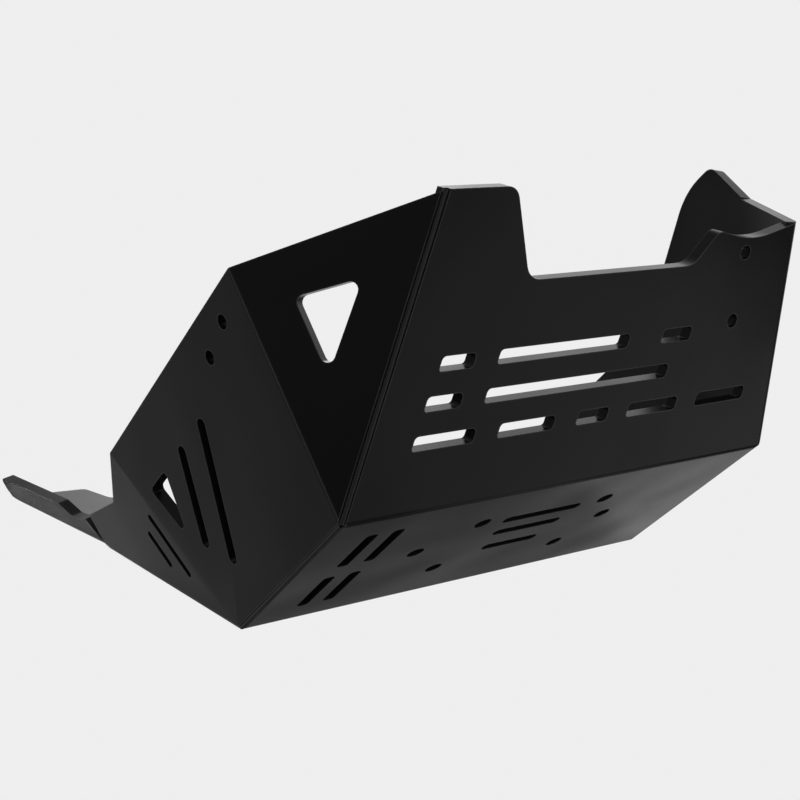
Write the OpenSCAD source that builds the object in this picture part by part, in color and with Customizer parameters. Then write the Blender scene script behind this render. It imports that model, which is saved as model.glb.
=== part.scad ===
// Motorcycle skid plate: two folded sheets of black plastic, welded along one open seam.
// Millimetres. Y points to the rear of the motorcycle, Z up and X to the rider's left.
// The origin is the middle of the belly's underside.

/* [Sheet] */
// Thickness of the plastic sheet
sheet = 8; // [6:0.5:9]
// Outer radius of the folds
fold_r = 6; // [4:0.5:8]
// Radius of the weld bead along the open seam
bead_r = 1.5; // [1.2:0.1:1.8]
// Radius of the groove that the bead lies in
groove_r = 2.4; // [2.2:0.1:2.8]

/* [Belly] */
// Width of the belly between the side folds
belly_w = 140; // [128:1:152]
// Length of the belly
belly_l = 312; // [300:1:340]
// Flare of both side walls from the vertical
flare = 47; // [44:0.5:49]

/* [Front panel] */
// Height of the front panel along its face
front_h = 141; // [136:1:150]
// Width of the front panel at its top edge
front_top_w = 205; // [196:1:215]
// Lean of the front panel out of the vertical
front_lean = 11.3; // [8:0.1:14]

/* [Right wall] */
// Height of the front tab along the wall
tab_h = 171; // [164:1:180]
// Distance that the seam runs to the rear on its way up the wall
seam_rake = 48; // [42:1:54]
// Length of the tab's top edge
tab_l = 45; // [40:1:50]
// Height of the cut-out's floor along the wall
notch_h = 121; // [114:1:128]
// Length of the raised part behind the cut-out
rise_l = 84; // [78:1:92]
// Height of the wall at its rear end
rear_h = 142; // [138:1:150]

/* [Left wall and wing] */
// Height on the wall where the wing begins
wing_foot = 159; // [154:1:164]
// Height on the wall where the wing turns to its tip
wing_top = 265; // [255:1:270]
// Distance that the wing's root leans forward at its top
wing_lead = 29; // [24:1:34]
// Width of the wing's strip
wing_w = 16.5; // [14:0.5:20]
// Height of the left tab along the wall
left_tab_h = 260; // [250:1:264]
// Where the left tab ends
left_tab_y = 63; // [58:1:70]

/* [Rear] */
// Lean of the bulkhead out of the vertical
rear_lean = 11.3; // [8:0.1:14]
// Spread of the bulkhead's side folds from the vertical
rear_spread = 22.4; // [18:0.1:25]
// Height of the bulkhead's middle along its face
bulk_h = 119; // [112:1:124]
// Height of the ear at the bulkhead's right end
ear_h = 183; // [178:1:190]
// Height of the right rear facet along its fold
facet_high = 147; // [142:1:155]
// Height of the left rear facet along its fold
facet_low = 100; // [94:1:106]

/* [Openings] */
// Width of the slots in the walls and the belly
slot_w = 8; // [6:0.5:9]
// Height of the lowest slot row on a wall
row_h = 38.7; // [36:0.1:42]
// Distance from one slot row to the next
row_pitch = 21; // [19:0.1:22]
// Width of the two slots in the left facet
thin_w = 5; // [4:0.5:6]
// Diameter of the bolt holes
bolt_d = 8.4; // [6.6:0.1:9]
// Diameter of the tool holes in the belly
tool_d = 11; // [9:0.5:12]

/* [Hidden] */
$fn = 48;
over = 1;
arc_steps = 5;
fold_steps = 3;

// Directions of the tilted faces, from the belly upwards.
wall_up = [sin(flare), 0, cos(flare)];
front_up = [0, -sin(front_lean), cos(front_lean)];
bulk_up = [0, sin(rear_lean), cos(rear_lean)];
function mirrored(p) = [-p.x, p.y, p.z];

// Corners of the body on the outer faces of the sheets.
foot = [belly_w / 2, 0, 0];
heel = [belly_w / 2, belly_l, 0];
brow = [front_top_w / 2, 0, 0] + front_h * front_up;
seam_top = foot + [0, seam_rake, 0] + tab_h * wall_up;
rear_top = heel + rear_h * wall_up;
function rear_fold(h) = heel + [h * tan(rear_spread), 0, 0] + h * bulk_up;

// The wing's root runs up the left wall and leans forward with it.
root_low = mirrored(foot + [0, -wing_lead * 0.4, 0] + wing_foot * wall_up);
root_high = mirrored(foot + [0, -wing_lead, 0] + wing_top * wall_up);
inside = [0, belly_l / 2, sheet + 80];

// A plane through three points: local x, local y, outward normal and origin.
// Local y runs from the origin to the second point.
function unit(v) = v / norm(v);
function plane_of(o, p, q) =
    let (up = unit(p - o), n = unit(cross(q - o, p - o)), out = (o - inside) * n < 0 ? -n : n)
    [cross(up, out), up, out, o];
function flat(p, f) = [(p - f[3]) * f[0], (p - f[3]) * f[1]];
function lift(p, f) = f[3] + p.x * f[0] + p.y * f[1];

right_wall = plane_of(foot, foot + wall_up, heel);
front = plane_of([0, 0, 0], front_up, [1, 0, 0]);
right_facet = plane_of(foot, brow, seam_top);
left_facet = plane_of(mirrored(foot), mirrored(brow), root_low);
bulkhead = plane_of([0, belly_l, 0], [0, belly_l, 0] + bulk_up, heel);
right_rear = plane_of(heel, rear_fold(facet_high), rear_top);
left_rear = plane_of(mirrored(heel), mirrored(rear_fold(facet_low)), mirrored(rear_top));
belly_down = [0, 0, -1];

// The left facet's free corners, and the wing's plane beside it.
facet_dip = [-0.28 * front_h, 0.95 * front_h];
facet_tip = lift([-0.59 * front_h, 1.115 * front_h], left_facet);
wing = plane_of(root_low, root_high, facet_tip);

// Rounds the corners of an outline. Each corner is [x, y, radius].
function corner(a, b, c) =
    let (u = unit([a.x - b.x, a.y - b.y]), v = unit([c.x - b.x, c.y - b.y]), r = b.z, half = acos(u * v) / 2)
    r == 0 ? [[b.x, b.y]] :
    let (m = [b.x, b.y] + unit(u + v) * r / sin(half), p = [b.x, b.y] + u * r / tan(half) - m,
         q = [b.x, b.y] + v * r / tan(half) - m, from = atan2(p.y, p.x),
         turn = (atan2(q.y, q.x) - from + 540) % 360 - 180)
    let (n = arc_steps + floor(r / 10))
    [for (i = [0:n]) m + r * [cos(from + turn * i / n), sin(from + turn * i / n)]];
function rounded(pts) =
    let (n = len(pts))
    [for (i = [0:n - 1]) each corner(pts[(i + n - 1) % n], pts[i], pts[(i + 1) % n])];

// Puts a child that is drawn on a plane's local axes in its place.
module on(f)
    multmatrix([[f[0].x, f[1].x, f[2].x, f[3].x], [f[0].y, f[1].y, f[2].y, f[3].y],
                [f[0].z, f[1].z, f[2].z, f[3].z], [0, 0, 0, 1]]) children();

// A piece of sheet with its outer face on the plane.
module plate(f, pts) on(f) translate([0, 0, -sheet]) linear_extrude(sheet) polygon(pts);

// A cut through a plate, drawn on the plane.
module cut(f) on(f) translate([0, 0, -sheet - over]) linear_extrude(sheet + 2 * over) children();

module bore(f, p, d) on(f) translate([p.x, p.y, -sheet - over]) cylinder(d = d, h = sheet + 2 * over);

// A twelve-sided bar between two points, a little longer than their distance.
module bar(p, q, r) {
    along = unit(q - p);
    side = unit(cross(along, [0, 1, 0.3]));
    on([side, cross(along, side), along, p - along * r / 2])
        linear_extrude(norm(q - p) + r) polygon([for (i = [0:11]) r * [cos(30 * i + 15), sin(30 * i + 15)]]);
}

// A slot with round ends between two points.
module slot(p, q, w) {
    d = q - p;
    translate(p) rotate(atan2(d.y, d.x)) {
        circle(d = w);
        translate([0, -w / 2]) square([norm(d), w]);
        translate([norm(d), 0]) circle(d = w);
    }
}

// What a fold's rounding takes off the sharp edge from p to q, between two outward normals.
module fold_edge(p, q, n1, n2) {
    out = unit(n1 + n2);
    half = acos(n1 * n2) / 2;
    along = unit(q - p);
    on([cross(out, along), out, along, p - out * fold_r / cos(half) - over * along])
        linear_extrude(norm(q - p) + 2 * over)
            polygon(concat([for (i = [0:fold_steps]) let (turn = half * (2 * i / fold_steps - 1))
                            fold_r * [sin(turn), cos(turn)]],
                           [[fold_r * sin(half), fold_r * 1.6], [-fold_r * sin(half), fold_r * 1.6]]));
}

// Outlines of the side walls: x is the distance to the rear, y the height along the wall.
slant = seam_rake / tab_h;
tab_end = seam_rake + tab_l;
wall_rear = [[belly_l - rise_l, notch_h, 14], [belly_l - rise_l + 18, rear_h - 2, 6],
             [belly_l - rise_l / 2 + 5, rear_h - 9, 60], [belly_l, rear_h, 0], [belly_l, 0, 0]];
right_outline = concat([[0, 0, 0], [seam_rake, tab_h, 0], [tab_end, tab_h, 8],
                        [tab_end + 14, notch_h, 10]], wall_rear);
left_outline = concat([[0, 0, 0], [-wing_lead * 0.4, wing_foot, 0], [-wing_lead, wing_top, 0],
                       [wing_lead * 0.5, left_tab_h - 2, 5], [wing_lead * 0.8, left_tab_h - 32, 8],
                       [left_tab_y, left_tab_h - 24, 3], [left_tab_y - 9, left_tab_h - 68, 12],
                       [left_tab_y + 10, notch_h, 10]], wall_rear);

// Slots of a wall, row by row from the lowest: start and length as parts of the belly's length.
wall_slots = [[[0.128, 0.128], [0.308, 0.125], [0.487, 0.074], [0.609, 0.125], [0.785, 0.131]],
              [[0.147, 0.074], [0.272, 0.426]],
              [[0.17, 0.071], [0.292, 0.298], [0.673, 0.074]]];

module wall_cuts(f) {
    cut(f) for (row = [0:len(wall_slots) - 1], s = wall_slots[row] * belly_l) {
        low = row_h + row * row_pitch - slot_w / 2;
        polygon(rounded([[s[0], low, 1.5], [s[0] + s[1], low, 2.5],
                         [s[0] + s[1] + slant * slot_w, low + slot_w, 2.5],
                         [s[0] + slant * slot_w, low + slot_w, 3]]));
    }
    bore(f, [belly_l - 42, rear_h - 16], bolt_d);
    bore(f, [belly_l - 44.5, rear_h - 57], bolt_d);
}

// Rear bulkhead: x to the right, y up along its face.
fold_x = [facet_high, facet_low] * tan(rear_spread);
bulk_outline = [[belly_w / 2, 0, 0], [belly_w / 2 + fold_x[0], facet_high, 0],
                [belly_w / 2 + fold_x[0] - 15, ear_h, 9], [belly_w / 2 + fold_x[0] - 43, ear_h, 44],
                [8, bulk_h, 6], [-belly_w / 2 - 24, bulk_h - 3, 8],
                [-belly_w / 2 - fold_x[1], facet_low, 0], [-belly_w / 2, 0, 0]];

// The strip that turns forward from the left wall's front edge.
root_l = norm(root_high - root_low);
wing_outline = [[0, 0, 0], [0, root_l, 0], [0, root_l + 8, 6], [wing_w - 9, root_l + 20, 8],
                [wing_w - 1.5, root_l + 27.5, 2],
                [wing_w, root_l * 0.53, 6], [wing_w - 5, root_l * 0.38, 9], [wing_w - 4, root_l * 0.26, 0],
                [wing_w - 2, root_l * 0.22, 0]];

module main_sheet() {
    translate([-belly_w / 2, 0, 0]) cube([belly_w, belly_l, sheet]);
    plate(right_wall, rounded(right_outline));
    mirror([1, 0, 0]) plate(right_wall, rounded(left_outline));
    plate(wing, rounded(wing_outline));
    plate(bulkhead, rounded([for (p = bulk_outline) [-p.x, p.y, p.z]]));
    plate(right_rear, [for (p = [heel, rear_fold(facet_high), rear_top]) flat(p, right_rear)]);
    plate(left_rear, [for (p = [heel, rear_fold(facet_low), rear_top]) flat(mirrored(p), left_rear)]);
}

module front_sheet() {
    half = [belly_w / 2, front_top_w / 2];
    plate(front, [[half[0], 0], [half[1], front_h], [-half[1], front_h], [-half[0], 0]]);
    plate(right_facet, [for (p = [foot, seam_top, brow]) flat(p, right_facet)]);
    plate(left_facet, rounded([[0, 0, 0], concat(flat(mirrored(brow), left_facet), 0), concat(facet_dip, 2),
                               concat(flat(facet_tip, left_facet), 0), concat(flat(root_low, left_facet), 0)]));
}

module main_folds() {
    fold_edge(foot, heel, belly_down, right_wall[2]);
    fold_edge(mirrored(foot), mirrored(heel), belly_down, mirrored(right_wall[2]));
    fold_edge(heel, mirrored(heel), belly_down, bulkhead[2]);
    fold_edge(heel, rear_fold(facet_high), bulkhead[2], right_rear[2]);
    fold_edge(heel, rear_top, right_wall[2], right_rear[2]);
    fold_edge(mirrored(heel), mirrored(rear_fold(facet_low)), bulkhead[2], left_rear[2]);
    fold_edge(mirrored(heel), mirrored(rear_top), mirrored(right_wall[2]), left_rear[2]);
    fold_edge(root_low, root_high + 12 * unit(root_high - root_low), mirrored(right_wall[2]), wing[2]);
}

module front_folds() {
    fold_edge(foot, brow, front[2], right_facet[2]);
    fold_edge(mirrored(foot), mirrored(brow), front[2], left_facet[2]);
}

module belly_cuts() {
    translate([0, 0, -over]) linear_extrude(sheet + 2 * over) {
        for (side = [-1, 1], y = [31, 48.5])
            translate([side * 28, y]) polygon(rounded([for (k = [[-1, -1], [1, -1], [1, 1], [-1, 1]])
                                                       [21 * k[0], slot_w / 2 * k[1], 3]]));
        for (s = [[28, 0.423, 0.612], [9.5, 0.436, 0.6], [-13.5, 0.455, 0.59]])
            slot([s[0], s[1] * belly_l + slot_w / 2], [s[0], s[2] * belly_l - slot_w / 2], slot_w);
    }
    for (p = [[4, 0.266], [-32, 0.372], [31, 0.369], [-33, 0.68], [31, 0.67], [4, 0.725]])
        translate([p[0], p[1] * belly_l, -over]) cylinder(d = tool_d, h = sheet + 2 * over);
}

module front_cuts() {
    for (p = [[73, 126], [46, 120]]) bore(front, [p.x, p.y - 141 + front_h], bolt_d);
    cut(front) {
        slot([4.4, front_h - 40.9], [-37.3, front_h - 107.2], slot_w);
        slot([-28, front_h - 41.1], [-55, front_h - 87.9], slot_w);
        polygon(rounded([[-55, front_h - 38.5, 3], [-81, front_h - 38.5, 3], [-70, front_h - 78, 3]]));
    }
    cut(right_facet) polygon(rounded([[26.2, 116, 4], [63.4, 109.4, 4], [26.3, 72.6, 4]]));
    cut(left_facet) {
        slot([-8.9, 96.3], [-11.6, 52.5], thin_w);
        slot([-23.6, 93.4], [-25.1, 70.5], thin_w);
    }
}

// The seam's corners, moved into the sheet by a distance.
function seam_path(depth) = [for (k = [
    [seam_top, right_wall[2] + right_facet[2]],
    [foot, right_wall[2] + right_facet[2] + front[2] + belly_down],
    [mirrored(foot), mirrored(right_wall[2]) + left_facet[2] + front[2] + belly_down],
    [root_low, mirrored(right_wall[2]) + left_facet[2]]]) k[0] - depth * unit(k[1])];

module along_seam(depth, r) {
    path = seam_path(depth);
    for (i = [0:len(path) - 2]) bar(path[i], path[i + 1], r);
}

module bead() along_seam(1.45 * bead_r, bead_r);

module seam_cut() {
    bead();
    along_seam(0, groove_r);
}

// The sheets are drawn from the belly's front edge, so each piece is moved to the belly's middle.
module on_origin() translate([0, -belly_l / 2, 0]) children();

module main_shell() color("#26282b") on_origin() difference() {
    main_sheet();
    front_sheet();
    main_folds();
    belly_cuts();
    wall_cuts(right_wall);
    mirror([1, 0, 0]) wall_cuts(right_wall);
    seam_cut();
}

module front_shell() color("#303236") on_origin() difference() {
    front_sheet();
    front_folds();
    front_cuts();
    seam_cut();
}

module seam_weld() color("#3c3f44") on_origin() bead();

main_shell();
front_shell();
seam_weld();
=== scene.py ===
"""Black plastic motorcycle skid plate: finishes, weld bead, studio and camera.

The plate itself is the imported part. This script dresses its folded sheets, lays the
weld bead in the open seam's groove, and sets up a pale studio.
"""

import logging
import math
from dataclasses import dataclass, field
from enum import Enum

import bmesh
import bpy
from mathutils import Matrix, Vector

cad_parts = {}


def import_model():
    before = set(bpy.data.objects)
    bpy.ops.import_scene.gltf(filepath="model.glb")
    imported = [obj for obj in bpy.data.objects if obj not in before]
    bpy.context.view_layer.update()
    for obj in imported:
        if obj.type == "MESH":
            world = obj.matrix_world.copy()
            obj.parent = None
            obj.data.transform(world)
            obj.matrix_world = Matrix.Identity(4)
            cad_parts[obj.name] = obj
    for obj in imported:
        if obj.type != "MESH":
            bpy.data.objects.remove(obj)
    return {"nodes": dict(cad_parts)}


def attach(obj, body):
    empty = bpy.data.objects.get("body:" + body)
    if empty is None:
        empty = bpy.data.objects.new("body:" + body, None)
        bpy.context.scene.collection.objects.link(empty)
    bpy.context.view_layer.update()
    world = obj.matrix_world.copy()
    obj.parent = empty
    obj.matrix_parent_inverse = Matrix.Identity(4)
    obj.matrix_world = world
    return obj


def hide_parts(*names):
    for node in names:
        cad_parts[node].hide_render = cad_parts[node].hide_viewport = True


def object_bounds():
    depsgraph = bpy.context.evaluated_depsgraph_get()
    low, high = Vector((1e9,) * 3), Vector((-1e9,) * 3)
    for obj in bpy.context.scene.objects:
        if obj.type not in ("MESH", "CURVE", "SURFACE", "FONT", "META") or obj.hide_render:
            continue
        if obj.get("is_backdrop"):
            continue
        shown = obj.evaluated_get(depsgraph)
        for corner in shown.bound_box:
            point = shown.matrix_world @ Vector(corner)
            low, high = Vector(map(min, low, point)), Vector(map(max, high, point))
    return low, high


log = logging.getLogger("skid_plate")

MM = 0.001
WHITE = (1.0, 1.0, 1.0, 1.0)


def map_range(
    tree: bpy.types.NodeTree,
    source: tuple[float, float],
    target: tuple[float, float] = (0.0, 1.0),
) -> bpy.types.Node:
    """Adds a Map Range node.

    Args:
        tree: Node tree that the node is added to.
        source: Values at which the mapping starts and ends.
        target: What these two values become.

    Returns:
        The new node.
    """
    node = tree.nodes.new("ShaderNodeMapRange")
    for name, value in zip(("From Min", "From Max", "To Min", "To Max"), (*source, *target)):
        node.inputs[name].default_value = value
    return node


@dataclass(frozen=True)
class Noise:
    """A noise pattern in Object coordinates.

    Attributes:
        scale: Scale of the pattern, per metre.
        detail: Number of finer octaves.
        rough: Strength of the finer octaves.
    """

    scale: float
    detail: float
    rough: float = 0.5

    def add(self, tree: bpy.types.NodeTree, where: bpy.types.Node) -> bpy.types.Node:
        """Adds the pattern to a material.

        Args:
            tree: Node tree of the material.
            where: Texture coordinate node.

        Returns:
            The noise node.
        """
        node = tree.nodes.new("ShaderNodeTexNoise")
        node.inputs["Scale"].default_value = self.scale
        node.inputs["Detail"].default_value = self.detail
        node.inputs["Roughness"].default_value = self.rough
        tree.links.new(where.outputs["Object"], node.inputs["Vector"])
        return node


class Grain(Enum):
    """Fine pattern that textures the surface of a finish."""

    CALENDERED = Noise(900.0, 3.0)
    MELTED = Noise(320.0, 3.0)


@dataclass(frozen=True)
class EdgeWearAndHighlight:
    """How a finish is paler along its edges, from rubbing and from a painted edge highlight.

    Attributes:
        reach: How far the rubbing and the painted highlight reach from an edge, in metres.
        samples: Samples that find the edges.
        turns: Cosines of the turn at which the rubbing and the painted highlight start and
            are full.
        patches: Pattern that breaks the rubbing and the painted highlight up.
    """

    reach: float = 0.0012
    samples: int = 6
    turns: tuple[float, float] = (0.99, 0.86)
    patches: Noise = Noise(38.0, 4.0)


@dataclass(frozen=True)
class PlasticFinish:
    """A black plastic surface.

    Attributes:
        name: Name of the Blender material.
        colour: Linear base colour.
        burnish_and_highlight: Linear base colour of the edges, paler from rubbing and from a
            painted highlight.
        shine: Specular IOR level, low for a plastic that is loaded with carbon black.
        roughness: Roughness of the clean surface.
        spread: How far handling marks raise or lower the roughness.
        relief: Strength of the grain's bump.
        grain: Which grain the bump follows.
        bow: Height of the sheet's slow waves, in metres.
        grain_height: Height of the grain, in metres.
        ior: Index of refraction.
        wear_and_highlight: How the edges are scuffed and lightened by a painted highlight.
        marks: Pattern of the handling marks.
        marked: Values of that pattern between which the roughness changes.
        waves: Pattern of the slow waves.
    """

    name: str
    colour: tuple[float, float, float]
    burnish_and_highlight: tuple[float, float, float]
    shine: float
    roughness: float
    spread: float
    relief: float
    grain: Grain
    bow: float = 0.0
    grain_height: float = 0.0003
    ior: float = 1.5
    wear_and_highlight: EdgeWearAndHighlight = EdgeWearAndHighlight()
    marks: Noise = Noise(14.0, 5.0, 0.6)
    marked: tuple[float, float] = (0.3, 0.7)
    waves: Noise = Noise(11.0, 1.0)

    def material(self) -> bpy.types.Material:
        """Builds the material.

        Returns:
            A new Blender material in Object coordinates.
        """
        made = bpy.data.materials.new(self.name)
        made.use_nodes = True
        tree = made.node_tree
        shader = tree.nodes["Principled BSDF"]
        shader.inputs["Specular IOR Level"].default_value = self.shine
        shader.inputs["IOR"].default_value = self.ior
        where = tree.nodes.new("ShaderNodeTexCoord")
        self._tint(tree, where, shader)
        self._mark(tree, where, shader)
        self._emboss(tree, where, shader)
        return made

    def _tint(
        self, tree: bpy.types.NodeTree, where: bpy.types.Node, shader: bpy.types.Node
    ) -> None:
        """Colours the plastic, a little paler along its edges from rubbing and a painted
        highlight.

        Args:
            tree: Node tree of the material.
            where: Texture coordinate node.
            shader: Surface shader.
        """
        # Paler edges: partly rubbing, partly a painted highlight that stands in for glints
        # along the edges.
        edge = tree.nodes.new("ShaderNodeBevel")
        edge.samples = self.wear_and_highlight.samples
        edge.inputs["Radius"].default_value = self.wear_and_highlight.reach
        face = tree.nodes.new("ShaderNodeNewGeometry")
        turn = tree.nodes.new("ShaderNodeVectorMath")
        turn.operation = "DOT_PRODUCT"
        rubbed_and_highlit = map_range(tree, self.wear_and_highlight.turns)
        patchy = self.wear_and_highlight.patches.add(tree, where)
        worn_and_highlit = tree.nodes.new("ShaderNodeMath")
        worn_and_highlit.operation = "MULTIPLY"
        blend = tree.nodes.new("ShaderNodeMix")
        blend.data_type = "RGBA"
        blend.inputs[6].default_value = (*self.colour, 1.0)
        blend.inputs[7].default_value = (*self.burnish_and_highlight, 1.0)
        tree.links.new(edge.outputs["Normal"], turn.inputs[0])
        tree.links.new(face.outputs["Normal"], turn.inputs[1])
        tree.links.new(turn.outputs["Value"], rubbed_and_highlit.inputs["Value"])
        tree.links.new(rubbed_and_highlit.outputs["Result"], worn_and_highlit.inputs[0])
        tree.links.new(patchy.outputs["Fac"], worn_and_highlit.inputs[1])
        tree.links.new(worn_and_highlit.outputs["Value"], blend.inputs["Factor"])
        tree.links.new(blend.outputs[2], shader.inputs["Base Color"])

    def _mark(
        self, tree: bpy.types.NodeTree, where: bpy.types.Node, shader: bpy.types.Node
    ) -> None:
        """Varies the roughness with broad, soft handling marks.

        Args:
            tree: Node tree of the material.
            where: Texture coordinate node.
            shader: Surface shader.
        """
        cloud = self.marks.add(tree, where)
        limits = (self.roughness - self.spread, self.roughness + self.spread)
        band = map_range(tree, self.marked, limits)
        tree.links.new(cloud.outputs["Fac"], band.inputs["Value"])
        tree.links.new(band.outputs["Result"], shader.inputs["Roughness"])

    def _emboss(
        self, tree: bpy.types.NodeTree, where: bpy.types.Node, shader: bpy.types.Node
    ) -> None:
        """Adds the grain as bump, on top of the sheet's slow waves where it has them.

        Args:
            tree: Node tree of the material.
            where: Texture coordinate node.
            shader: Surface shader.
        """
        grain = self.grain.value.add(tree, where)
        bump = tree.nodes.new("ShaderNodeBump")
        bump.inputs["Strength"].default_value = self.relief
        bump.inputs["Distance"].default_value = self.grain_height
        tree.links.new(grain.outputs["Fac"], bump.inputs["Height"])
        if self.bow:
            wave = self.waves.add(tree, where)
            sway = tree.nodes.new("ShaderNodeBump")
            sway.inputs["Strength"].default_value = 1.0
            sway.inputs["Distance"].default_value = self.bow
            tree.links.new(wave.outputs["Fac"], sway.inputs["Height"])
            tree.links.new(sway.outputs["Normal"], bump.inputs["Normal"])
        tree.links.new(bump.outputs["Normal"], shader.inputs["Normal"])


SHEET_BLACK = PlasticFinish(
    name="sheet_black",
    colour=(0.0026, 0.0026, 0.0027),
    # Edge colour: partly rubbing, partly a painted edge highlight.
    burnish_and_highlight=(0.05, 0.05, 0.052),
    shine=0.047,
    roughness=0.24,
    spread=0.04,
    relief=0.05,
    grain=Grain.CALENDERED,
    bow=0.0016,
)
WELD_BLACK = PlasticFinish(
    name="weld_black",
    colour=(0.005, 0.005, 0.0052),
    # Edge colour: partly rubbing, partly a painted edge highlight.
    burnish_and_highlight=(0.02, 0.02, 0.021),
    shine=0.12,
    roughness=0.34,
    spread=0.05,
    relief=0.25,
    grain=Grain.MELTED,
)


@dataclass
class FoldedSheets:
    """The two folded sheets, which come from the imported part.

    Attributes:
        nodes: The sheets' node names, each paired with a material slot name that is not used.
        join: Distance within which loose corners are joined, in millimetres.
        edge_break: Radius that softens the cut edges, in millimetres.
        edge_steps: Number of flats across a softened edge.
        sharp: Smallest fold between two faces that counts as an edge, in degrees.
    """

    nodes: dict[str, str] = field(
        default_factory=lambda: {"main_shell": "main_sheet", "front_shell": "front_sheet"}
    )
    join: float = 0.02
    edge_break: float = 0.7
    edge_steps: int = 2
    sharp: float = 25.0

    def dress(self, parts: dict[str, bpy.types.Object]) -> list[bpy.types.Object]:
        """Gives each sheet its finish and soft edges.

        Args:
            parts: The frame's nodes by name.

        Returns:
            The dressed sheets.
        """
        black = SHEET_BLACK.material()
        dressed = []
        for name, slot in self.nodes.items():
            sheet = parts[name]
            sheet.data.materials.clear()
            sheet.data.materials.append(black)
            self._soften(sheet)
            dressed.append(sheet)
        return dressed

    def _soften(self, sheet: bpy.types.Object) -> None:
        """Breaks the cut edges and evens out the shading.

        Args:
            sheet: One sheet's mesh object.
        """
        weld = sheet.modifiers.new("join_corners", "WELD")
        weld.merge_threshold = self.join * MM
        edges = sheet.modifiers.new("edge_break", "BEVEL")
        edges.width = self.edge_break * MM
        edges.segments = self.edge_steps
        edges.limit_method = "ANGLE"
        edges.angle_limit = math.radians(self.sharp)
        edges.use_clamp_overlap = True
        edges.harden_normals = False
        even = sheet.modifiers.new("even_shading", "WEIGHTED_NORMAL")
        even.keep_sharp = False
        for face in sheet.data.polygons:
            face.use_smooth = True


@dataclass
class WeldBead:
    """The bead that joins the sheets along the open seam.

    Attributes:
        corners: The bead's path, in millimetres.
        radius: Radius of the bead, in millimetres.
        ripple: How far each ripple's waist stands below the radius, in millimetres.
        pitch: Distance from one ripple to the next, in millimetres.
        rings: Rings of points along one ripple.
        sides: Points round the bead.
    """

    corners: tuple[tuple[float, float, float], ...] = (
        (193.54, -107.06, 117.86),
        (69.12, -154.76, 1.56),
        (-69.43, -154.59, 1.55),
        (-185.19, -166.26, 109.75),
    )
    radius: float = 1.5
    ripple: float = 0.12
    pitch: float = 1.6
    rings: int = 3
    sides: int = 12

    def build(self) -> bpy.types.Object:
        """Builds the bead with its ripples.

        Returns:
            The bead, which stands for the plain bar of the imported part.
        """
        mesh = bmesh.new()
        points = [Vector(c) * MM for c in self.corners]
        for start, end in zip(points, points[1:]):
            self._run(mesh, start, end)
        data = bpy.data.meshes.new("weld_bead")
        mesh.to_mesh(data)
        mesh.free()
        for face in data.polygons:
            face.use_smooth = True
        bead = bpy.data.objects.new("weld_bead", data)
        bpy.context.scene.collection.objects.link(bead)
        data.materials.append(WELD_BLACK.material())
        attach(bead, "root")
        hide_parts("seam_weld")
        return bead

    def _run(self, mesh: bmesh.types.BMesh, start: Vector, end: Vector) -> None:
        """Adds one straight run of bead between two corners.

        Args:
            mesh: Mesh that the run is added to.
            start: First corner, in metres.
            end: Second corner, in metres.
        """
        span = end - start
        turn = span.to_track_quat("Z", "Y").to_matrix().to_4x4()
        count = max(1, round(span.length / (self.pitch * MM))) * self.rings
        made = bmesh.ops.create_circle(
            mesh, cap_ends=True, cap_tris=False, segments=self.sides, radius=self.radius * MM
        )
        ring = made["verts"]
        bmesh.ops.transform(mesh, matrix=Matrix.Translation(start) @ turn, verts=ring)
        face = ring[0].link_faces[0]
        step = span / count
        for index in range(1, count + 1):
            pulled = bmesh.ops.extrude_discrete_faces(mesh, faces=[face])["faces"][0]
            bmesh.ops.translate(mesh, vec=step, verts=pulled.verts)
            at_waist = index % self.rings == 0
            waist = 1.0 - (self.ripple / self.radius if at_waist else 0.0)
            centre = start + step * index
            for vert in pulled.verts:
                away = (vert.co - centre).normalized()
                vert.co = centre + away * self.radius * MM * waist
            face = pulled


@dataclass
class Lamp:
    """One soft area lamp.

    Attributes:
        name: Name of the lamp.
        aim: Direction from the plate to the lamp.
        distance: Distance from what the lamp is turned to, in metres.
        size: Width and height of the lamp, in metres.
        radiance: Brightness of the lamp's face.
        at: What the lamp is turned to, from the plate's middle, in metres.
        grid: Angle that the lamp's honeycomb lets through, in degrees.
    """

    name: str
    aim: tuple[float, float, float]
    distance: float
    size: tuple[float, float]
    radiance: float
    at: tuple[float, float, float] = (0.0, 0.0, 0.0)
    grid: float = 180.0

    def hang(self, centre: Vector) -> None:
        """Hangs the lamp and turns it to the plate.

        Args:
            centre: The plate's middle.
        """
        data = bpy.data.lights.new(self.name, "AREA")
        data.shape = "RECTANGLE"
        data.size, data.size_y = self.size
        data.energy = self.radiance * math.pi * self.size[0] * self.size[1]
        data.spread = math.radians(self.grid)
        lamp = bpy.data.objects.new(self.name, data)
        away = Vector(self.aim).normalized()
        lamp.location = centre + Vector(self.at) + away * self.distance
        lamp.rotation_euler = away.to_track_quat("Z", "Y").to_euler()
        lamp.visible_camera = False
        bpy.context.scene.collection.objects.link(lamp)


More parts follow.
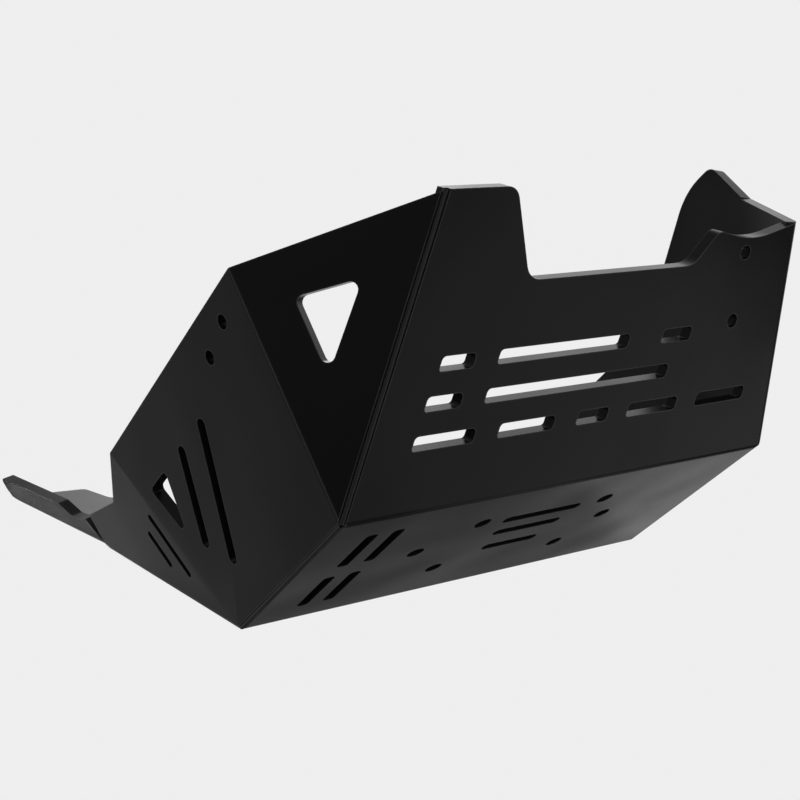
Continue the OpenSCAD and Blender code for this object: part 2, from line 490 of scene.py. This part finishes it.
@dataclass
class Studio:
    """Pale floor, soft lamps and world.

    Attributes:
        floor_size: Side of the floor, in metres.
        floor_drop: Gap that keeps the floor just under the belly, in metres.
        floor_fade: Distances at which the floor starts and ends to fade, in metres.
        floor_tone: Linear grey of the floor.
        floor_roughness: Roughness of the floor.
        air: World brightness that lights the plate.
        backdrop: World brightness that the camera and the reflections see.
        under: The same steeply below the horizon, where the plate shades the floor.
        dusk: Heights of a view direction at which it turns from under to backdrop.
        lamps: The studio's lamps.
    """

    floor_size: float = 6.0
    floor_drop: float = 0.0005
    floor_fade: tuple[float, float] = (0.9, 2.6)
    floor_tone: float = 0.82
    floor_roughness: float = 0.85
    air: float = 0.66
    backdrop: float = 0.86
    under: float = 0.20
    dusk: tuple[float, float] = (-0.26, -0.08)
    lamps: tuple[Lamp, ...] = (
        Lamp("overhead", (0.0, 0.62, 0.78), 1.5, (2.2, 1.0), 0.7),
        Lamp("tab_light", (-0.46, 0.42, 0.78), 1.45, (0.7, 0.7), 2.1),
        Lamp("low_rear", (-0.57, 0.79, -0.24), 1.6, (0.45, 0.4), 0.6),
        Lamp("wall_light", (0.30, 0.60, -0.74), 1.6, (1.0, 0.8), 2.1),
        Lamp("right_side", (0.92, 0.15, 0.35), 1.6, (1.0, 1.0), 0.9),
        Lamp("front_strip", (-0.25, -0.96, -0.05), 1.5, (0.30, 1.0), 4.5),
        Lamp("fold_light", (-0.27, 0.59, -0.76), 1.6, (0.35, 0.35), 2.0),
        Lamp(
            "wing_light", (-0.74, -0.67, 0.07), 0.9, (0.13, 0.13), 0.7,
            at=(-0.215, -0.18, 0.05), grid=6.0,
        ),
        Lamp("front_fill", (0.55, -0.50, 0.67), 1.6, (1.5, 1.0), 1.2),
        Lamp("low_fill", (0.80, -0.20, -0.57), 1.6, (1.2, 1.2), 1.5),
    )

    def set_up(self, low: Vector, high: Vector) -> None:
        """Lays the floor, hangs the lamps and lights the world.

        Args:
            low: Lowest corner of the plate's box.
            high: Highest corner of the plate's box.
        """
        centre = (low + high) / 2
        self._lay_floor(low.z)
        for lamp in self.lamps:
            lamp.hang(centre)
        self._light_world()
        log.info("set up the studio with %d lamps", len(self.lamps))

    def _lay_floor(self, ground: float) -> None:
        """Lays a floor that shows from above only.

        Args:
            ground: Height of the plate's lowest point, in metres.
        """
        mesh = bmesh.new()
        bmesh.ops.create_grid(mesh, x_segments=1, y_segments=1, size=self.floor_size / 2)
        data = bpy.data.meshes.new("floor")
        mesh.to_mesh(data)
        mesh.free()
        floor = bpy.data.objects.new("floor", data)
        floor.location.z = ground - self.floor_drop
        bpy.context.scene.collection.objects.link(floor)
        floor.visible_shadow = False
        floor.visible_glossy = False
        floor.visible_diffuse = False
        data.materials.append(self._floor_material())
        floor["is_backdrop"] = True

    def _floor_material(self) -> bpy.types.Material:
        """Builds the floor's one-sided pale material, which fades out with distance.

        Returns:
            A new Blender material.
        """
        made = bpy.data.materials.new("pale_floor")
        made.use_nodes = True
        tree = made.node_tree
        shader = tree.nodes["Principled BSDF"]
        shader.inputs["Base Color"].default_value = (*[self.floor_tone] * 3, 1.0)
        shader.inputs["Roughness"].default_value = self.floor_roughness
        clear = tree.nodes.new("ShaderNodeBsdfTransparent")
        side = tree.nodes.new("ShaderNodeNewGeometry")
        where = tree.nodes.new("ShaderNodeTexCoord")
        far = tree.nodes.new("ShaderNodeVectorMath")
        far.operation = "LENGTH"
        fade = map_range(tree, self.floor_fade)
        fade.interpolation_type = "SMOOTHSTEP"
        gone = tree.nodes.new("ShaderNodeMath")
        gone.operation = "MAXIMUM"
        mix = tree.nodes.new("ShaderNodeMixShader")
        tree.links.new(where.outputs["Object"], far.inputs[0])
        tree.links.new(far.outputs["Value"], fade.inputs["Value"])
        tree.links.new(fade.outputs["Result"], gone.inputs[0])
        tree.links.new(side.outputs["Backfacing"], gone.inputs[1])
        tree.links.new(gone.outputs["Value"], mix.inputs["Fac"])
        tree.links.new(shader.outputs["BSDF"], mix.inputs[1])
        tree.links.new(clear.outputs["BSDF"], mix.inputs[2])
        tree.links.new(mix.outputs["Shader"], tree.nodes["Material Output"].inputs["Surface"])
        return made

    def _light_world(self) -> None:
        """Lights the world: a pale backdrop to look at, and a softer light on the plate."""
        world = bpy.data.worlds.new("studio_air")
        bpy.context.scene.world = world
        world.use_nodes = True
        tree = world.node_tree
        soft = tree.nodes["Background"]
        soft.inputs["Color"].default_value = WHITE
        soft.inputs["Strength"].default_value = self.air
        pale = tree.nodes.new("ShaderNodeBackground")
        pale.inputs["Color"].default_value = WHITE
        where = tree.nodes.new("ShaderNodeTexCoord")
        split = tree.nodes.new("ShaderNodeSeparateXYZ")
        sink = map_range(tree, self.dusk, (self.under, self.backdrop))
        tree.links.new(where.outputs["Generated"], split.inputs["Vector"])
        tree.links.new(split.outputs["Z"], sink.inputs["Value"])
        tree.links.new(sink.outputs["Result"], pale.inputs["Strength"])
        path = tree.nodes.new("ShaderNodeLightPath")
        shown = path.outputs["Is Camera Ray"]
        for ray in ("Is Glossy Ray", "Is Transmission Ray"):
            either = tree.nodes.new("ShaderNodeMath")
            either.operation = "MAXIMUM"
            tree.links.new(shown, either.inputs[0])
            tree.links.new(path.outputs[ray], either.inputs[1])
            shown = either.outputs["Value"]
        mix = tree.nodes.new("ShaderNodeMixShader")
        tree.links.new(shown, mix.inputs["Fac"])
        tree.links.new(soft.outputs["Background"], mix.inputs[1])
        tree.links.new(pale.outputs["Background"], mix.inputs[2])
        tree.links.new(mix.outputs["Shader"], tree.nodes["World Output"].inputs["Surface"])


@dataclass
class PhotoCamera:
    """The camera at the photograph's angle, low and in front of the plate's open side.

    Attributes:
        place: Camera position, in metres.
        right: The picture's right in the row frame.
        up: The picture's up in the row frame.
        lens: Focal length, in millimetres.
        sensor: Width of the sensor, in millimetres.
        clip: Nearest and farthest distance that shows, in metres.
    """

    place: tuple[float, float, float] = (0.66898, -0.53822, -0.21396)
    right: tuple[float, float, float] = (0.4442, 0.8200, -0.3609)
    up: tuple[float, float, float] = (0.4898, 0.1150, 0.8642)
    lens: float = 65.7
    sensor: float = 36.0
    clip: tuple[float, float] = (0.01, 50.0)

    def set_up(self) -> None:
        """Makes the camera and hands it to the scene."""
        data = bpy.data.cameras.new("photo_camera")
        data.lens = self.lens
        data.sensor_width = self.sensor
        data.clip_start, data.clip_end = self.clip
        camera = bpy.data.objects.new("photo_camera", data)
        right = Vector(self.right).normalized()
        back = right.cross(Vector(self.up)).normalized()
        up = back.cross(right)
        turn = Matrix((right, up, back)).transposed().to_4x4()
        camera.matrix_world = Matrix.Translation(Vector(self.place)) @ turn
        bpy.context.scene.collection.objects.link(camera)
        bpy.context.scene.camera = camera


def main() -> None:
    """Dresses the sheets, lays the bead and sets up the studio."""
    logging.basicConfig(level=logging.INFO, format="%(name)s: %(message)s")
    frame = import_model()
    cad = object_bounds()
    bpy.context.scene.view_settings.view_transform = "Standard"
    for piece in (*FoldedSheets().dress(frame["nodes"]), WeldBead().build()):
        log.info("made %s with %d faces", piece.name, len(piece.data.polygons))
    Studio().set_up(*cad)
    PhotoCamera().set_up()


if __name__ == "__main__":
    main()
